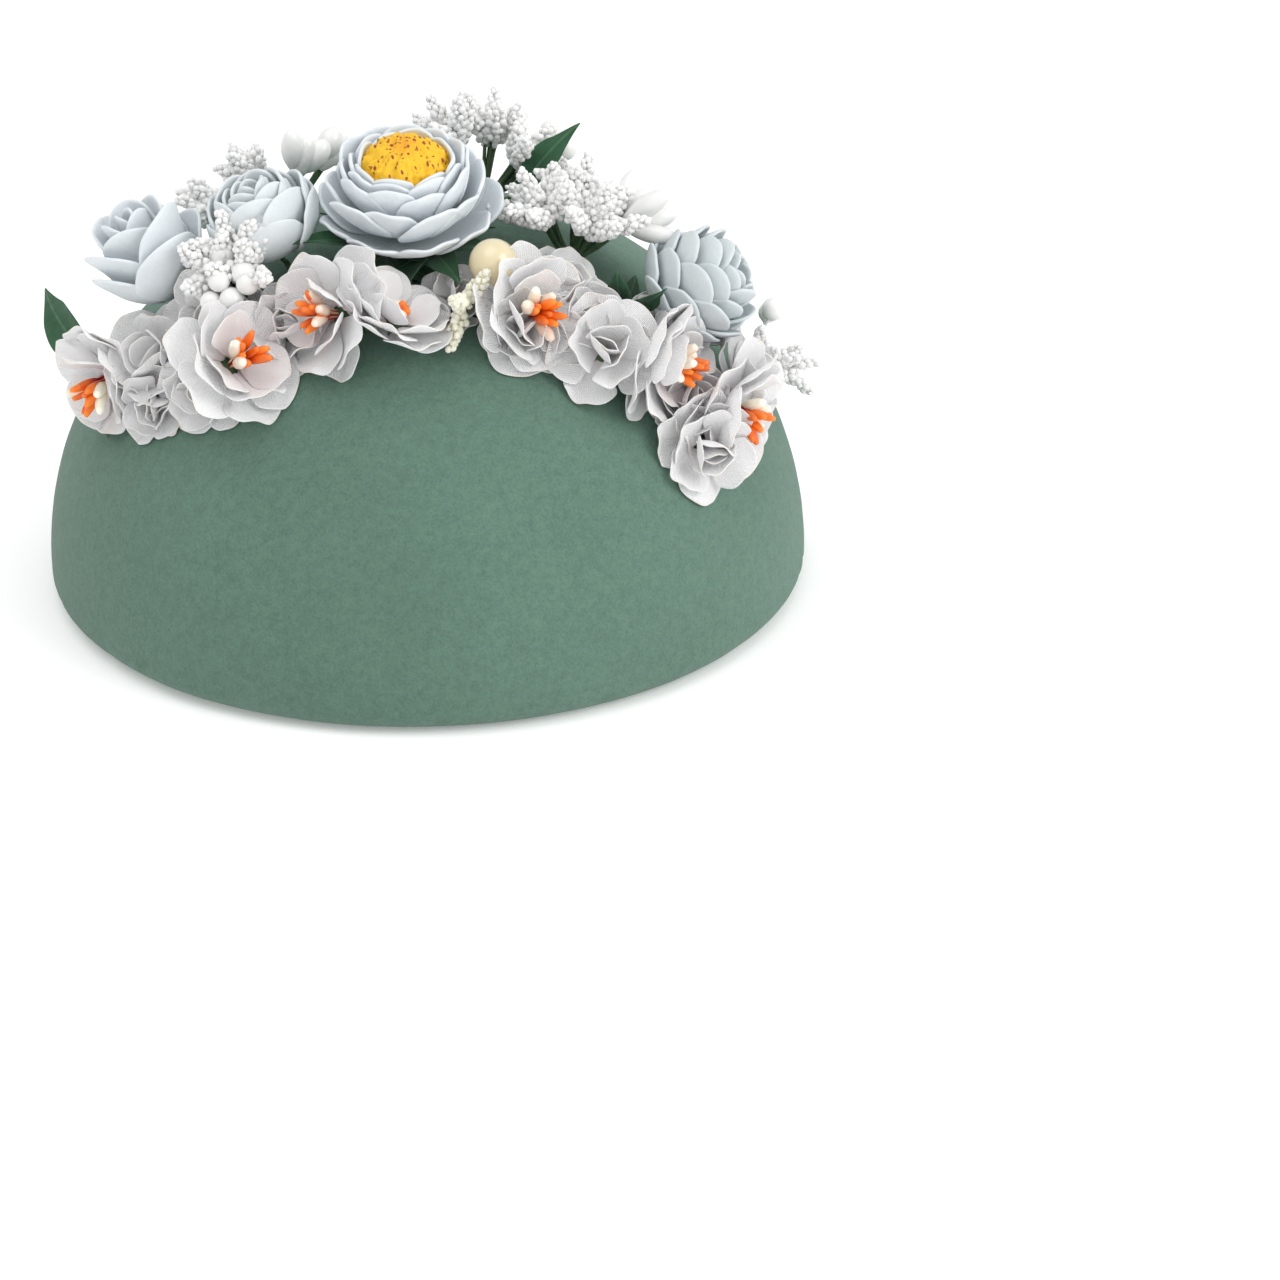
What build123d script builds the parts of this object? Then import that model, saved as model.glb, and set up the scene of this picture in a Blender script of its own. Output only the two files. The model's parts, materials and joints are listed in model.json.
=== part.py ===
from build123d import *
import os
from math import acos, cos, pi, radians, sin, sqrt, tau

# A half-sphere of dry floral foam that stands on its flat base, dressed with a garland of
# artificial flower picks. Each pick is a wire pushed straight down its own bore in the foam.
# The origin is the middle of the base, +Z is up, and the garland faces -Y.
# A place on the dome is two angles from its top: along the garland (+ is +X) and forward.

# Foam
foam_radius = 100.0
foam_height = 100.0
widest_height = 6.0        # the dome is widest a little above its base
edge_roll = 8.0            # how far the lower edge rolls in

ellipse_pull = 0.5523      # share of its side by which a Bezier curve follows a quarter ellipse

# Wires
wire_radius = 0.7
branch_radius = 0.5
bore_clearance = 0.05
insertion = 32.0
point_length = 4.0
bore_spare = 1.5
hub_height = 3.0           # where the branches leave the main wire
flare_length = 4.0

# Flower heads
floor_radius = 2.6         # flat middle that the petals grow from
petal_thickness = 0.8
petal_spacer = 0.6
level_height = petal_spacer + petal_thickness
neighbour_gap = 0.25       # half of the space left between two neighbouring heads
touch_angle = radians(0.6)  # outlines nearer than this count as touching
leaf_thickness = 0.5

# Stem of each pick: along, forward
stems = {
    "left_blossom": (-48.0, 18.0),
    "rose": (-34.5, 12.0),
    "front_left_blossom": (-29.5, 28.0),
    "ranunculus": (-19.5, 13.5),
    "left_spray": (-25.0, 20.0),
    "centre_left_blossom": (-9.0, 30.0),
    "peony": (-1.5, 14.5),
    "pearl": (7.0, 28.0),
    "centre_right_blossom": (18.5, 26.5),
    "right_spray": (22.0, 14.0),
    "dahlia": (36.0, 17.0),
    "front_right_blossom": (32.5, 30.0),
    "right_blossom": (51.0, 26.5),
    "top_spray": (9.0, 1.0),
    "rear_left_spray": (-20.0, 0.0),
    "right_end_spray": (54.0, 8.0),
}

# Head: pick, along, forward, lift off the foam, lean forward, lean right, diameter
heads = {
    "blossom_a": ("left_blossom", -49.0, 18.0, 6.0, 30.0, -16.0, 33.0),
    "rose": ("rose", -34.5, 12.0, 7.0, 18.0, -2.0, 29.0),
    "blossom_b": ("front_left_blossom", -29.0, 31.5, 6.0, 24.0, 20.0, 34.0),
    "blossom_b2": ("front_left_blossom", -30.0, 24.0, 10.0, 8.0, -2.0, 28.0),
    "ranunculus": ("ranunculus", -19.5, 13.5, 7.0, 2.0, -4.0, 30.0),
    "blossom_c": ("centre_left_blossom", -13.5, 29.5, 6.0, 24.0, -16.0, 33.0),
    "blossom_c2": ("centre_left_blossom", -4.0, 30.5, 6.0, 20.0, 16.0, 30.0),
    "peony": ("peony", -1.5, 14.5, 7.0, 4.0, 0.0, 50.0),
    "blossom_d": ("centre_right_blossom", 15.5, 29.5, 6.0, 20.0, 20.0, 33.0),
    "blossom_d2": ("centre_right_blossom", 20.5, 23.0, 8.0, 4.0, 8.0, 21.0),
    "dahlia": ("dahlia", 36.0, 17.0, 7.0, -6.0, 14.0, 31.0),
    "blossom_e": ("front_right_blossom", 37.0, 28.5, 6.0, 18.0, 22.0, 33.0),
    "blossom_e2": ("front_right_blossom", 28.5, 31.0, 6.0, 24.0, -12.0, 28.0),
    "blossom_f": ("right_blossom", 51.0, 26.5, 6.0, 18.0, 12.0, 34.0),
}

# Spindle: pick, node, along, forward, height of its foot, length, radius
spindles = [
    ("left_spray", "left_spray_sprigs", -27.0, 19.5, 14.0, 12.0, 2.4),
    ("left_spray", "left_spray_sprigs", -24.0, 18.2, 16.0, 11.0, 2.4),
    ("left_spray", "left_spray_sprigs", -23.2, 21.2, 14.0, 11.0, 2.4),
    ("left_spray", "left_spray_buds", -26.0, 22.0, 13.0, 8.0, 2.2),
    ("rear_left_spray", "rear_left_spray_sprigs", -26.0, 1.0, 12.0, 11.0, 2.6),
    ("rear_left_spray", "rear_left_spray_sprigs", -21.0, -1.0, 12.0, 12.0, 2.6),
    ("rear_left_spray", "rear_left_spray_buds", -16.0, 1.0, 13.0, 11.0, 2.4),
    ("rear_left_spray", "rear_left_spray_buds", -13.0, -2.0, 12.0, 10.0, 2.4),
    ("top_spray", "top_spray_sprigs", 5.0, 0.0, 15.0, 14.0, 2.8),
    ("top_spray", "top_spray_sprigs", 9.0, -2.0, 16.0, 13.0, 2.8),
    ("top_spray", "top_spray_sprigs", 12.5, 1.5, 14.0, 13.0, 2.6),
    ("top_spray", "top_spray_buds", 15.5, -1.0, 16.0, 9.0, 2.5),
    ("right_spray", "right_spray_sprigs", 17.0, 13.5, 12.0, 14.0, 2.8),
    ("right_spray", "right_spray_sprigs", 22.0, 14.4, 13.0, 14.0, 2.6),
    ("right_spray", "right_spray_sprigs", 21.0, 9.5, 13.0, 13.0, 2.8),
    ("right_spray", "right_spray_buds", 25.5, 12.0, 15.0, 14.0, 2.2),
    ("right_spray", "right_spray_buds", 25.5, 8.0, 14.0, 12.0, 2.2),
    ("pearl", "pearl_sprigs", 5.9, 30.4, 9.0, 11.0, 2.0),
    ("right_end_spray", "right_end_spray_sprigs", 53.0, 11.0, 8.0, 10.0, 2.4),
    ("right_end_spray", "right_end_spray_sprigs", 55.5, 8.5, 8.0, 11.0, 2.4),
    ("right_end_spray", "right_end_spray_buds", 52.5, 6.0, 8.0, 9.0, 2.2),
]

# Leaf: pick, node, foot along, foot forward, foot height, tip along, tip forward, tip height, width
leaves = [
    ("left_blossom", "left_leaf", -51.0, 10.5, 5.0, -61.0, 5.0, 9.0, 9.0),
    ("peony", "peony_leaves", -5.0, 18.0, 4.0, -7.5, 22.5, 8.0, 5.0),
    ("peony", "peony_leaves", 1.5, 18.0, 4.0, 3.0, 22.5, 8.0, 5.0),
    ("top_spray", "top_leaf", 13.0, 4.5, 8.0, 16.5, 5.0, 27.0, 8.0),
    ("dahlia", "dahlia_leaf", 30.5, 19.5, 4.0, 28.2, 22.0, 10.0, 4.5),
]

# What stands between the heads: along, forward, angle that it takes up around itself
narrow_neighbours = {
    "left_spray": (-25.0, 20.0, 3.7),
    "pearl": (8.5, 26.5, 3.3),
    "pearl_sprigs": (5.4, 31.5, 2.0),
}

# Petal rings of each kind of head, from the outside in: share of the head's radius, rise as a
# share of the head's radius, petals
fabric_rings = [(1.0, 0.36, 5), (0.82, 0.5, 5)]
rose_rings = [(1.0, 0.5, 5), (0.78, 0.56, 4)]
ranunculus_rings = [(1.0, 0.46, 8), (0.8, 0.54, 7)]
peony_rings = [(1.0, 0.28, 9), (0.88, 0.38, 8), (0.68, 0.42, 8), (0.52, 0.4, 7)]

calyx_share = 0.42
calyx_rise = 0.03
calyx_sepals = 5
outer_stamens = 6
stamen_spread = 1.25       # how far from the middle the outer stamens start
stamen_length = 9.0
stamen_tilt = 28.0
stamen_tip = 1.1
stamen_hub = 2.0
pearl_radius = 6.0
pearl_foot = 9.0
pearl_place = (8.5, 26.5)
pearl_bore = 4.0


def direction(along, forward):
    """Unit vector from the middle of the base towards a place on the dome."""
    a, f = radians(along), radians(forward)
    return Vector(sin(a) * cos(f), -sin(f), cos(a) * cos(f))


def dome_distance(way):
    """Distance from the middle of the base to the dome's surface, along a unit vector."""
    upper = foam_height - widest_height
    flat = (way.X**2 + way.Y**2) / foam_radius**2
    a = flat + (way.Z / upper) ** 2
    b = -2 * way.Z * widest_height / upper**2
    c = (widest_height / upper) ** 2 - 1
    return (-b + sqrt(b * b - 4 * a * c)) / (2 * a)


def place(along, forward, height):
    """Point at a height over the dome."""
    way = direction(along, forward)
    return way * (dome_distance(way) + height)


def dome_plane(along, forward, height):
    """Plane at a height over the dome, with x along the garland and z straight out."""
    x_dir = Vector(cos(radians(along)), 0, -sin(radians(along)))
    return Plane(origin=place(along, forward, height), x_dir=x_dir, z_dir=direction(along, forward))


def head_plane(name):
    """Plane under a flower head: z is the way that the flower faces."""
    _, along, forward, lift, lean_forward, lean_right, _ = heads[name]
    return dome_plane(along, forward, lift).rotated((lean_forward, lean_right, 0))


def side_plane(plane):
    """Plane through the given plane's z, to draw a profile in (radius, height)."""
    return Plane(origin=plane.origin, x_dir=plane.x_dir, z_dir=-plane.y_dir)


def spin(profile, plane):
    revolve(profile, axis=Axis(plane.origin, plane.z_dir))


def quarter_ellipse(centre, half_width, half_height):
    """Quarter of an ellipse, from its side to its top, or to its bottom if the height is negative."""
    x, y = centre
    Bezier(
        (x + half_width, y),
        (x + half_width, y + ellipse_pull * half_height),
        (x + ellipse_pull * half_width, y + half_height),
        (x, y + half_height),
    )


def rod(start, end, radius):
    with BuildSketch(Plane(origin=start, z_dir=end - start)) as section:
        Circle(radius)
    extrude(section.sketch, amount=(end - start).length)


def knuckle(centre, radius):
    with Locations(centre):
        Sphere(radius)


def save(piece, name):
    piece.part.label = name
    export_step(piece.part, f"parts/{name}.step")


def cap(name):
    """Direction and angular radius of a head's petals, seen from the middle of the base."""
    radius = heads[name][-1] / 2
    centre = head_plane(name).offset(radius * 0.4).origin
    return centre.normalized(), radius / centre.length


def press_against_neighbours(name):
    """Flattens a head where its petals meet a neighbour, so that each keeps its own room.

    The plane between two heads goes through the circle where their round outlines cross. The
    plane beside a narrow neighbour touches that neighbour's own outline.
    """
    own_way, own_radius = cap(name)
    for other in [*heads, *narrow_neighbours]:
        if other == name:
            continue
        narrow = other in narrow_neighbours
        if narrow:
            along, forward, angle = narrow_neighbours[other]
            other_way, other_radius = direction(along, forward), radians(angle)
        else:
            other_way, other_radius = cap(other)
        apart = acos(min(1.0, own_way.dot(other_way)))
        if apart > own_radius + other_radius + touch_angle:
            continue
        if narrow:
            sideways = (own_way - other_way * cos(apart)) / sin(apart)
            across = sideways * cos(other_radius) - other_way * sin(other_radius)
        else:
            across = (own_way / cos(own_radius) - other_way / cos(other_radius)).normalized()
        split(bisect_by=Plane(origin=across * neighbour_gap, z_dir=across), keep=Keep.TOP)


def petal_ring(plane, level, radius, rise, count, turn):
    """One ring of petals: a cupped shell cut to round lobes, on a flat floor."""
    bottom = level * level_height
    shell_bottom = bottom + petal_spacer
    with BuildSketch(side_plane(plane)) as profile:
        with BuildLine():
            Line((0, bottom), (floor_radius, bottom))
            Line((floor_radius, bottom), (floor_radius, shell_bottom))
            outside = TangentArc((floor_radius, shell_bottom), (radius, shell_bottom + rise), tangent=(1, 0))
            Line(outside @ 1, outside @ 1 + Vector(0, petal_thickness))
            inside = TangentArc(
                (floor_radius, bottom + level_height), (radius, bottom + level_height + rise), tangent=(1, 0)
            )
            Line(inside @ 0, (0, bottom + level_height))
            Line((0, bottom + level_height), (0, bottom))
        make_face()
    with BuildPart(mode=Mode.PRIVATE) as ring:
        spin(profile.sketch, plane)
        with BuildSketch(plane) as lobes:
            Circle(floor_radius + 0.4 * (radius - floor_radius))
            with PolarLocations(radius * 0.56, count, start_angle=turn):
                Ellipse(radius * 0.44, radius * sin(pi / count) * 0.62)
        extrude(lobes.sketch, amount=bottom + level_height + rise + 1, mode=Mode.INTERSECT)
    add(ring.part)


def petal_rings(name, rings, first_level):
    """Stack of petal rings on one head, each turned by half a petal."""
    radius = heads[name][-1] / 2
    for number, (share, rise, count) in enumerate(rings):
        turn = number * 180 / count
        petal_ring(head_plane(name), first_level + number, radius * share, radius * rise, count, turn)


def spindle(plane, foot, radius, length, bulge):
    """Round body that grows from a flat foot, widest at the bulge, to a rounded tip."""
    with BuildSketch(side_plane(plane)) as profile:
        with BuildLine():
            Line((0, 0), (foot, 0))
            Bezier((foot, 0), (radius * 1.05, length * 0.12), (radius, bulge * length))
            Bezier((radius, bulge * length), (radius * 0.9, length), (0, length))
            Line((0, length), (0, 0))
        make_face()
    spin(profile.sketch, plane)


def stalk_plane(pick, along, forward, height):
    """Plane at a branch's end, square to the branch."""
    hub = place(*stems[pick], hub_height)
    foot = place(along, forward, height)
    return Plane(origin=foot, z_dir=foot - hub)


def leaf_plane(foot, tip):
    """Plane of a leaf: x runs to its tip, and its face looks away from the foam."""
    run = tip - foot
    face = foot - run * (foot.dot(run) / run.dot(run))
    return Plane(origin=foot, x_dir=run, z_dir=face)


def flower(name, rings, first_level=0):
    with BuildPart() as petals:
        petal_rings(name, rings, first_level)
        press_against_neighbours(name)
    save(petals, f"{name}_petals")


def heart(name, level, radius, height, node):
    with BuildPart() as middle:
        spindle(head_plane(name).offset(level * level_height), floor_radius, radius, height, 0.45)
    save(middle, node)


def stamens(name, level):
    """Bunch of club-tipped stamens on a short hub."""
    plane = head_plane(name).offset(level * level_height)
    with BuildPart() as bunch:
        with BuildSketch(plane) as foot:
            Circle(stamen_hub)
        extrude(foot.sketch, amount=stamen_hub)
        middle = plane.offset(stamen_hub / 2).origin
        rod(middle, middle + plane.z_dir * stamen_length, branch_radius)
        knuckle(middle + plane.z_dir * stamen_length, stamen_tip)
        for number in range(outer_stamens):
            around, tilt = number * tau / outer_stamens, radians(stamen_tilt)
            outward = plane.x_dir * cos(around) + plane.y_dir * sin(around)
            start = middle + outward * stamen_spread
            tip = start + (outward * sin(tilt) + plane.z_dir * cos(tilt)) * stamen_length
            rod(start, tip, branch_radius)
            knuckle(tip, stamen_tip)
    save(bunch, f"{name}_stamens")


os.makedirs("parts", exist_ok=True)

# Foam: an ellipse above the widest line, a rolled edge below it, a flat base, and one bore
# for each wire.
with BuildPart() as foam:
    with BuildSketch(Plane.XZ):
        with BuildLine():
            Line((0, foam_height), (0, 0))
            Line((0, 0), (foam_radius - edge_roll, 0))
            quarter_ellipse((foam_radius - edge_roll, widest_height), edge_roll, -widest_height)
            quarter_ellipse((0, widest_height), foam_radius, foam_height - widest_height)
        make_face()
    revolve(axis=Axis.Z)
    for along, forward in stems.values():
        with BuildSketch(dome_plane(along, forward, -insertion - bore_spare)) as bore:
            Circle(wire_radius + bore_clearance)
        extrude(bore.sketch, amount=insertion + bore_spare + 5, mode=Mode.SUBTRACT)
save(foam, "foam_half_sphere")

# Wires: a pointed main wire, a branch to each head, and a flare of stem tape under each flower.
for pick, (along, forward) in stems.items():
    with BuildPart() as stem:
        point = dome_plane(along, forward, -insertion)
        with BuildSketch(side_plane(point)) as profile:
            Polygon(
                (0, 0),
                (wire_radius, point_length),
                (wire_radius, insertion + hub_height),
                (0, insertion + hub_height),
                align=None,
            )
        spin(profile.sketch, point)
        hub = place(along, forward, hub_height)
        knuckle(hub, wire_radius)
        for name, head in heads.items():
            if head[0] == pick:
                top = head_plane(name)
                low = top.offset(-flare_length)
                with BuildSketch(low) as narrow:
                    Circle(branch_radius)
                with BuildSketch(top) as wide:
                    Circle(floor_radius)
                loft([narrow.sketch, wide.sketch])
                if (low.origin - hub).length > branch_radius:
                    rod(hub, low.origin, branch_radius)
                knuckle(low.origin, branch_radius)
        for row in spindles:
            if row[0] == pick:
                rod(hub, place(*row[2:5]), branch_radius)
        for row in leaves:
            if row[0] == pick:
                rod(hub, place(*row[2:5]), branch_radius)
                knuckle(place(*row[2:5]), branch_radius)
        if pick == "pearl":
            pearl_plane = stalk_plane("pearl", *pearl_place, pearl_foot)
            rod(hub, pearl_plane.offset(pearl_bore).origin, branch_radius)
    save(stem, f"{pick}_stem")

# Fabric blossoms
for letter in ("a", "b", "b2", "c", "c2", "d", "d2", "e", "e2", "f"):
    flower(f"blossom_{letter}", fabric_rings)
for letter in ("a", "b", "c", "c2", "d", "e", "f"):
    stamens(f"blossom_{letter}", len(fabric_rings))

# Foam-rubber flowers
flower("rose", rose_rings)
heart("rose", len(rose_rings), 5.5, 14.0, "rose_heart")
flower("ranunculus", ranunculus_rings)
heart("ranunculus", len(ranunculus_rings), 7.0, 9.0, "ranunculus_heart")
flower("dahlia", ranunculus_rings)
heart("dahlia", len(ranunculus_rings), 7.0, 10.0, "dahlia_heart")

# Peony: sepals, two pairs of petal rings, and a yellow middle
peony_radius = heads["peony"][-1] / 2
with BuildPart() as calyx:
    petal_ring(
        head_plane("peony"), 0, peony_radius * calyx_share, peony_radius * calyx_rise, calyx_sepals, 0
    )
save(calyx, "peony_calyx")
for half, first in (("outer", 0), ("inner", 2)):
    with BuildPart() as petals:
        petal_rings("peony", peony_rings[first : first + 2], first + 1)
        press_against_neighbours("peony")
    save(petals, f"peony_{half}_petals")
heart("peony", len(peony_rings) + 1, 7.0, 9.0, "peony_centre")

# Sprigs and buds
for node in sorted({row[1] for row in spindles}):
    with BuildPart() as bunch:
        for pick, row_node, along, forward, height, length, radius in spindles:
            if row_node == node:
                spindle(stalk_plane(pick, along, forward, height), branch_radius, radius, length, 0.45)
    save(bunch, node)

# Pearl, drilled for its wire
with BuildPart() as pearl:
    seat = stalk_plane("pearl", *pearl_place, pearl_foot)
    with Locations(seat.offset(pearl_radius).origin):
        Sphere(pearl_radius)
    with BuildSketch(seat.offset(-1)) as drill:
        Circle(branch_radius)
    extrude(drill.sketch, amount=pearl_bore + 1, mode=Mode.SUBTRACT)
save(pearl, "pearl_bead")

# Leaves
for node in sorted({row[1] for row in leaves}):
    with BuildPart() as foliage:
        for row in leaves:
            if row[1] == node:
                foot, tip, width = place(*row[2:5]), place(*row[5:8]), row[8]
                length = (tip - foot).length
                with BuildSketch(leaf_plane(foot, tip)) as blade:
                    with BuildLine():
                        Line((branch_radius, -branch_radius), (branch_radius, branch_radius))
                        ThreePointArc((branch_radius, branch_radius), (0.45 * length, width / 2), (length, 0))
                        ThreePointArc((length, 0), (0.45 * length, -width / 2), (branch_radius, -branch_radius))
                    make_face()
                extrude(blade.sketch, amount=leaf_thickness / 2, both=True)
    save(foliage, node)
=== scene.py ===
"""A floral foam half-sphere dressed with a garland of wired artificial flowers."""
import json
import math
import random

import bpy
import numpy as np
from mathutils import Matrix, Vector, noise


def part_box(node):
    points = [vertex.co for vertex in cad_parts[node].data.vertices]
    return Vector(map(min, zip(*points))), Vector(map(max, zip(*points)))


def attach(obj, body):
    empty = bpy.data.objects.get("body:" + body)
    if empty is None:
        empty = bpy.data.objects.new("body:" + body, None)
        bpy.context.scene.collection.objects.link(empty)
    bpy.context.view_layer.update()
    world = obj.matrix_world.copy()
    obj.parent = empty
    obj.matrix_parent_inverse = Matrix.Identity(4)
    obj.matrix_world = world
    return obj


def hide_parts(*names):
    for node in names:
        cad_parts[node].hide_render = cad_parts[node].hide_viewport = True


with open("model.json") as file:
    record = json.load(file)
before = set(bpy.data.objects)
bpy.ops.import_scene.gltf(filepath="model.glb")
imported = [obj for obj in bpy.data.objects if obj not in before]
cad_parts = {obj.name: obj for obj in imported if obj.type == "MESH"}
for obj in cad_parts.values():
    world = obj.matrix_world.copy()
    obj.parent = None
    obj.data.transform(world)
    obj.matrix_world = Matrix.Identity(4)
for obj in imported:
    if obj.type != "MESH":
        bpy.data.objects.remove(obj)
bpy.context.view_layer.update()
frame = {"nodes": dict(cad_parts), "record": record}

# Sizes and places are in millimetres, and become metres in build(). Where the frame doesn't give
# one, it repeats the CAD source, as in HEADS, or is this script's own, as in FACING.
MM = 0.001
TAU = 2 * math.pi
foam_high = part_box("foam_half_sphere")[1]
FOAM_RADIUS = round(foam_high[0] / MM, 1)
FOAM_HEIGHT = round(foam_high[2] / MM, 1)
WIDEST_HEIGHT = 6.0
EDGE_ROLL = 8.0
INSERTION = 32.0
BORE_SPARE = 1.5
POINT_LENGTH = 4.0
WIRE_RADIUS = 0.7
BRANCH_RADIUS = 0.5
BORE_RADIUS = 0.75
HUB_HEIGHT = 3.0
FLOOR_RADIUS = 2.6
FLOWER_MIDDLE = 6.0
UNDER_HEAD = 1.5
POINT_RADIUS = 0.05
FLARE_RADIUS = 1.6
HEART_FOOT = 2.4        # radius of a heart at its foot
HEART_SHOULDER = 0.6    # share of its height where a heart starts to round off
DENTS = 70              # along the lower edge of the foam

# Camera, fitted to the view of the photograph: distance in metres and elevation, seen from the
# middle of the base, then where it points
CAMERA_DISTANCE = 0.9
CAMERA_ELEVATION = math.radians(25.17)
CAMERA_PAN = math.radians(3.958)
CAMERA_TILT = math.radians(26.573)
CAMERA_LENS = 94.0

# Way of each pick's wire out of the foam, and the ends of the wires that branch from it
WAYS = {
    joint["name"].removesuffix("_pull"): Vector(joint["axis"]).normalized()
    for joint in frame["record"]["behaviour"]["joints"]
}
BRANCH_ENDS = {pick: [] for pick in WAYS}

# Head: pick, along, forward, lift off the foam, lean forward, lean right, radius
HEADS = {
    "blossom_a": ("left_blossom", -49.0, 18.0, 6.0, 30.0, -16.0, 16.5),
    "rose": ("rose", -34.5, 12.0, 7.0, 18.0, -2.0, 14.5),
    "blossom_b": ("front_left_blossom", -29.0, 31.5, 6.0, 24.0, 20.0, 17.0),
    "blossom_b2": ("front_left_blossom", -30.0, 24.0, 10.0, 8.0, -2.0, 14.0),
    "ranunculus": ("ranunculus", -19.5, 13.5, 7.0, 2.0, -4.0, 15.0),
    "blossom_c": ("centre_left_blossom", -13.5, 29.5, 6.0, 24.0, -16.0, 16.5),
    "blossom_c2": ("centre_left_blossom", -4.0, 30.5, 6.0, 20.0, 16.0, 15.0),
    "peony": ("peony", -1.5, 14.5, 7.0, 4.0, 0.0, 25.0),
    "blossom_d": ("centre_right_blossom", 15.5, 29.5, 6.0, 20.0, 20.0, 16.5),
    "blossom_d2": ("centre_right_blossom", 20.5, 23.0, 8.0, 4.0, 8.0, 10.5),
    "dahlia": ("dahlia", 36.0, 17.0, 7.0, -6.0, 14.0, 15.5),
    "blossom_e": ("front_right_blossom", 37.0, 28.5, 6.0, 18.0, 22.0, 16.5),
    "blossom_e2": ("front_right_blossom", 28.5, 31.0, 6.0, 24.0, -12.0, 14.0),
    "blossom_f": ("right_blossom", 51.0, 26.5, 6.0, 18.0, 12.0, 17.0),
}

# Each CAD sprig is the middle of a tuft: side sprigs round it, how far they lean out, thickness
TUFTS = {
    "left_spray": (3, 50, 1.35),
    "rear_left_spray": (4, 36, 1.15),
    "top_spray": (6, 44, 1.1),
    "right_spray": (7, 54, 1.15),
    "pearl": (2, 75, 1.3),
    "right_end_spray": (3, 36, 1.0),
}

# Each CAD bud has more beside it: form, buds beside it, how far they lean out, lean to the right
BUDS = {
    "left_spray": ("round", 7, 66, 0),
    "rear_left_spray": ("long", 2, 26, 0),
    "top_spray": ("round", 4, 62, 20),
    "right_spray": ("long", 4, 34, 30),
    "right_end_spray": ("round", 1, 40, 0),
}

# Leaves of each CAD leaf: turn about its foot in its own plane, share of its size
LEAFLETS = {
    "left_leaf": [(-60, 1.3), (100, 1.0)],
    "peony_leaves": [(0, 1.7), (-52, 2.0), (48, 1.6), (-100, 1.8), (100, 1.6)],
    "top_leaf": [(0, 1.0)],
    "dahlia_leaf": [(0, 1.9), (55, 2.4), (-42, 1.8), (105, 2.6), (160, 2.4), (-95, 2.6), (-140, 2.6)],
}

# How each flower is turned past its head's lean, forward and right, and raised in millimetres
FACING = {
    "blossom_a": (14, -26, 0),
    "blossom_b": (6, 30, 1),
    "blossom_b2": (34, 0, -6),
    "blossom_c": (0, -26, 0.5),
    "blossom_c2": (-36, 16, 0),
    "blossom_d": (10, 4, -1.5),
    "blossom_d2": (4, 0, -3),
    "blossom_e": (2, 34, 0),
    "blossom_f": (14, 32, 0),
    "rose": (-30, 8, 3),
    "ranunculus": (-8, 6, 1.5),
    "peony": (-4, 0, 0),
    "dahlia": (2, 14, 0),
}

# Fuller bunches, past the CAD's number of nodes: a blossom without stamens between two heads.
# Pick, the two heads, share of the way from one to the other, shift forward, lift, lean forward
# and right, radius
BETWEEN = {
    "fill_left": ("left_blossom", "blossom_a", "blossom_b", 0.40, -1.5, 5.0, 22.0, 6.0, 15.0),
    "fill_low_left": ("left_blossom", "blossom_a", "blossom_b", 0.25, 4.5, 2.5, 50.0, -8.0, 11.0),
    "fill_low_b": ("front_left_blossom", "blossom_b", "blossom_a", 0.32, 3.0, 3.0, 36.0, -16.0, 12.5),
    "fill_mid": ("centre_left_blossom", "blossom_c", "blossom_b", 0.45, -2.0, 3.5, 24.0, 0.0, 11.5),
    "fill_low_d": ("centre_right_blossom", "blossom_d", "blossom_c2", 0.0, 0.5, 3.0, 40.0, 4.0, 12.5),
    "fill_gap": ("pearl", "blossom_d", "blossom_c2", 0.52, -3.5, 1.0, 10.0, 0.0, 9.5),
    "fill_star": ("centre_right_blossom", "blossom_d", "blossom_e2", 0.7, -3.5, 4.0, 16.0, -4.0, 12.5),
    "fill_e": ("front_right_blossom", "blossom_e", "dahlia", 0.35, 0.0, 5.0, 2.0, -6.0, 14.0),
    "fill_mid_f": ("right_blossom", "blossom_f", "blossom_e", 0.45, 1.5, 2.5, 24.0, 0.0, 12.0),
    "fill_low_f": ("right_blossom", "blossom_f", "blossom_e", 0.05, 6.0, 3.0, 44.0, 10.0, 14.5),
    "fill_up_f": ("right_blossom", "blossom_f", "dahlia", 0.05, -7.0, 5.0, -4.0, 20.0, 14.0),
}


def filler(pick, first, second, share, shift, *rest):
    """A filler's row of HEADS, from the rows of the two heads that it stands between."""
    along, forward = (HEADS[first][k] * (1 - share) + HEADS[second][k] * share for k in (1, 2))
    return pick, along, forward + shift, *rest


FILLERS = {name: filler(*row) for name, row in BETWEEN.items()}
FLOWERS = HEADS | FILLERS

# Petal ring: petals, length, width, lean off the floor at its root and at its tip, cup (1/mm),
# outward curl of its lip, ruffle of its edge, height and radius of its root
PEONY_RINGS = [
    (9, 22.5, 18.5, -6, 54, 0.036, 0.0, 0.6, 0.0, 3.5),
    (10, 21.5, 17.5, 12, 74, 0.046, 0.0, 0.5, 2.4, 5.0),
    (10, 19.0, 16.0, 28, 86, 0.056, 0.0, 0.4, 5.2, 6.5),
    (9, 15.0, 14.0, 42, 92, 0.068, 0.0, 0.3, 8.6, 7.8),
    (8, 10.5, 12.0, 52, 96, 0.080, 0.0, 0.2, 12.0, 8.8),
]
RANUNCULUS_RINGS = [
    (5, 20.5, 20.0, -10, 104, 0.060, -0.6, 0.3, 0.0, 2.6),
    (5, 20.0, 19.0, 6, 108, 0.064, -0.6, 0.3, 1.2, 2.6),
    (5, 18.8, 16.5, 20, 108, 0.076, -0.4, 0.3, 2.3, 2.6),
    (5, 17.4, 14.0, 36, 106, 0.092, -0.3, 0.2, 3.2, 2.6),
    (4, 16.0, 11.2, 54, 104, 0.125, 0.0, 0.2, 4.0, 1.8),
    (3, 14.8, 8.0, 70, 100, 0.200, 0.0, 0.1, 4.5, 1.3),
]
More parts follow.
